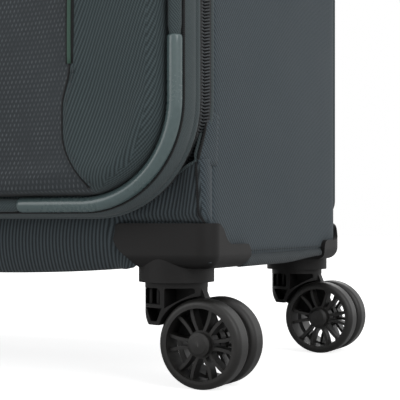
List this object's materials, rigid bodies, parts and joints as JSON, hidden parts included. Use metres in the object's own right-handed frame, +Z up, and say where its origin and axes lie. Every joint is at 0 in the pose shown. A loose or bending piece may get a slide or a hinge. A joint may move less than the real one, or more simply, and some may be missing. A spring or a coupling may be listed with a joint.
{
  "type": "softside upright suitcase",
  "caption": "Softside upright suitcase: padded front pockets on a zipped lid, piped edges, corner housings with twin spinner casters, telescopic and carry handles.",
  "frame": {"origin": "middle of the underside of the whole case's box, on the floor under the wheels", "axes": "+Z up, -Y the front with the lid and pockets, +X the side with the carry handle"},
  "size_m": [0.4672, 0.3016, 0.6861],
  "materials": {
    "shell_fabric": "woven twill",
    "front_fabric": "ribbed twill",
    "panel_fabric": "ripstop with a fine dot pattern",
    "gusset_fabric": "fine weave",
    "zip_black": "nylon coil",
    "tube_teal": "smooth, glossy",
    "black_plastic": "lightly grained moulding",
    "wheel_black": "moulded, satin",
    "anodised": "satin anodised",
    "zip_metal": "black lacquer",
    "lining_fabric": "thin lining",
    "strap_web": "webbing",
    "steel_wire": "wire"
  },
  "bodies": {
    "case": {"back_panel": "shell_fabric", "back_piping": "gusset_fabric", "base_tray": "black_plastic", "body_gusset": "shell_fabric", "frame_hoop": "steel_wire", "front_border": "front_fabric", "handle_cup": "black_plastic", "housing_back_left": "black_plastic", "housing_back_right": "black_plastic", "housing_front_left": "black_plastic", "housing_front_right": "black_plastic", "lid_hinge": "gusset_fabric", "outer_tube_left": "anodised", "outer_tube_right": "anodised", "packing_straps": "strap_web", "side_anchor_a": "black_plastic", "side_anchor_b": "black_plastic", "side_foot_high": "black_plastic", "side_foot_low": "black_plastic", "skid_rail_left": "black_plastic", "skid_rail_right": "black_plastic", "top_anchor_a": "black_plastic", "top_anchor_b": "black_plastic", "tube_bracket": "black_plastic", "tube_cover": "lining_fabric", "zip_coil_body": "zip_black"},
    "lid": {"zip_coil_lid": "zip_black", "lid_shell": "gusset_fabric", "lid_piping": "gusset_fabric", "tube_guard_right": "tube_teal", "tube_guard_left": "tube_teal", "main_pocket": "panel_fabric", "upper_pocket": "panel_fabric", "pocket_zip": "zip_black"},
    "handle_stage_1": {"mid_tube_left": "anodised", "mid_tube_right": "anodised"},
    "handle_stage_2": {"inner_tube_left": "anodised", "inner_tube_right": "anodised", "grip": "black_plastic"},
    "grip_button": {"grip_button": "black_plastic"},
    "top_handle": {"top_handle": "gusset_fabric"},
    "side_handle": {"side_handle": "gusset_fabric"},
    "main_slider_right": {"main_slider_right": "zip_metal"},
    "main_slider_left": {"main_slider_left": "zip_metal"},
    "main_pull_right": {"main_pull_right": "zip_metal"},
    "main_pull_left": {"main_pull_left": "zip_metal"},
    "pocket_slider": {"pocket_slider": "zip_metal"},
    "pocket_pull": {"pocket_pull": "zip_metal"},
    "fork_front_right": {"fork_front_right": "black_plastic"},
    "wheel_front_right_a": {"wheel_front_right_a": "wheel_black"},
    "wheel_front_right_b": {"wheel_front_right_b": "wheel_black"},
    "fork_front_left": {"fork_front_left": "black_plastic"},
    "wheel_front_left_a": {"wheel_front_left_a": "wheel_black"},
    "wheel_front_left_b": {"wheel_front_left_b": "wheel_black"},
    "fork_back_right": {"fork_back_right": "black_plastic"},
    "wheel_back_right_a": {"wheel_back_right_a": "wheel_black"},
    "wheel_back_right_b": {"wheel_back_right_b": "wheel_black"},
    "fork_back_left": {"fork_back_left": "black_plastic"},
    "wheel_back_left_a": {"wheel_back_left_a": "wheel_black"},
    "wheel_back_left_b": {"wheel_back_left_b": "wheel_black"}
  },
  "joints": [
    {"name": "swivel_front_right", "type": "hinge", "parent": "case", "child": "fork_front_right", "pos_m": [0.17731, -0.0818, 0.06], "axis": [0, 0, 1], "continuous": true},
    {"name": "roll_front_right_a", "type": "hinge", "parent": "fork_front_right", "child": "wheel_front_right_a", "pos_m": [0.20131, -0.0818, 0.027], "axis": [0, 1, 0], "continuous": true},
    {"name": "roll_front_right_b", "type": "hinge", "parent": "fork_front_right", "child": "wheel_front_right_b", "pos_m": [0.20131, -0.0818, 0.027], "axis": [0, 1, 0], "continuous": true},
    {"name": "swivel_front_left", "type": "hinge", "parent": "case", "child": "fork_front_left", "pos_m": [-0.19429, -0.0818, 0.06], "axis": [0, 0, 1], "continuous": true},
    {"name": "roll_front_left_a", "type": "hinge", "parent": "fork_front_left", "child": "wheel_front_left_a", "pos_m": [-0.17029, -0.0818, 0.027], "axis": [0, 1, 0], "continuous": true},
    {"name": "roll_front_left_b", "type": "hinge", "parent": "fork_front_left", "child": "wheel_front_left_b", "pos_m": [-0.17029, -0.0818, 0.027], "axis": [0, 1, 0], "continuous": true},
    {"name": "swivel_back_right", "type": "hinge", "parent": "case", "child": "fork_back_right", "pos_m": [0.17731, 0.1242, 0.06], "axis": [0, 0, 1], "continuous": true},
    {"name": "roll_back_right_a", "type": "hinge", "parent": "fork_back_right", "child": "wheel_back_right_a", "pos_m": [0.20131, 0.1242, 0.027], "axis": [0, 1, 0], "continuous": true},
    {"name": "roll_back_right_b", "type": "hinge", "parent": "fork_back_right", "child": "wheel_back_right_b", "pos_m": [0.20131, 0.1242, 0.027], "axis": [0, 1, 0], "continuous": true},
    {"name": "swivel_back_left", "type": "hinge", "parent": "case", "child": "fork_back_left", "pos_m": [-0.19429, 0.1242, 0.06], "axis": [0, 0, 1], "continuous": true},
    {"name": "roll_back_left_a", "type": "hinge", "parent": "fork_back_left", "child": "wheel_back_left_a", "pos_m": [-0.17029, 0.1242, 0.027], "axis": [0, 1, 0], "continuous": true},
    {"name": "roll_back_left_b", "type": "hinge", "parent": "fork_back_left", "child": "wheel_back_left_b", "pos_m": [-0.17029, 0.1242, 0.027], "axis": [0, 1, 0], "continuous": true},
    {"name": "lid_open", "type": "hinge", "parent": "case", "child": "lid", "pos_m": [-0.22649, -0.10705, 0.375], "axis": [0, 0, -1], "range_deg": [0, 150]},
    {"name": "handle_extend_1", "type": "slide", "parent": "case", "child": "handle_stage_1", "axis": [0, 0, 1], "range_m": [0, 0.185]},
    {"name": "handle_extend_2", "type": "slide", "parent": "handle_stage_1", "child": "handle_stage_2", "axis": [0, 0, 1], "range_m": [0, 0.185]},
    {"name": "button_press", "type": "slide", "parent": "handle_stage_2", "child": "grip_button", "axis": [0, 0, -1], "range_m": [0, 0.003], "stiffness_N_per_m": 500},
    {"name": "top_handle_lift", "type": "slide", "parent": "case", "child": "top_handle", "axis": [0, 0, 1], "range_m": [0, 0.006]},
    {"name": "side_handle_lift", "type": "slide", "parent": "case", "child": "side_handle", "axis": [1, 0, 0], "range_m": [0, 0.006]},
    {"name": "main_zip_right", "type": "slide", "parent": "case", "child": "main_slider_right", "axis": [1, 0, 0], "range_m": [0, 0.13]},
    {"name": "main_zip_left", "type": "slide", "parent": "case", "child": "main_slider_left", "axis": [-1, 0, 0], "range_m": [0, 0.13]},
    {"name": "main_pull_right_swing", "type": "hinge", "parent": "main_slider_right", "child": "main_pull_right", "pos_m": [-0.00169, -0.10705, 0.6521], "axis": [0, -1, 0], "range_deg": [0, 150]},
    {"name": "main_pull_left_swing", "type": "hinge", "parent": "main_slider_left", "child": "main_pull_left", "pos_m": [-0.01529, -0.10705, 0.6521], "axis": [0, 1, 0], "range_deg": [0, 150]},
    {"name": "pocket_zip", "type": "slide", "parent": "lid", "child": "pocket_slider", "axis": [-1, 0, 0], "range_m": [0, 0.29]},
    {"name": "pocket_pull_swing", "type": "hinge", "parent": "pocket_slider", "child": "pocket_pull", "pos_m": [0.11151, -0.1486, 0.44], "axis": [-1, 0, 0], "range_deg": [0, 120]}
  ]
}
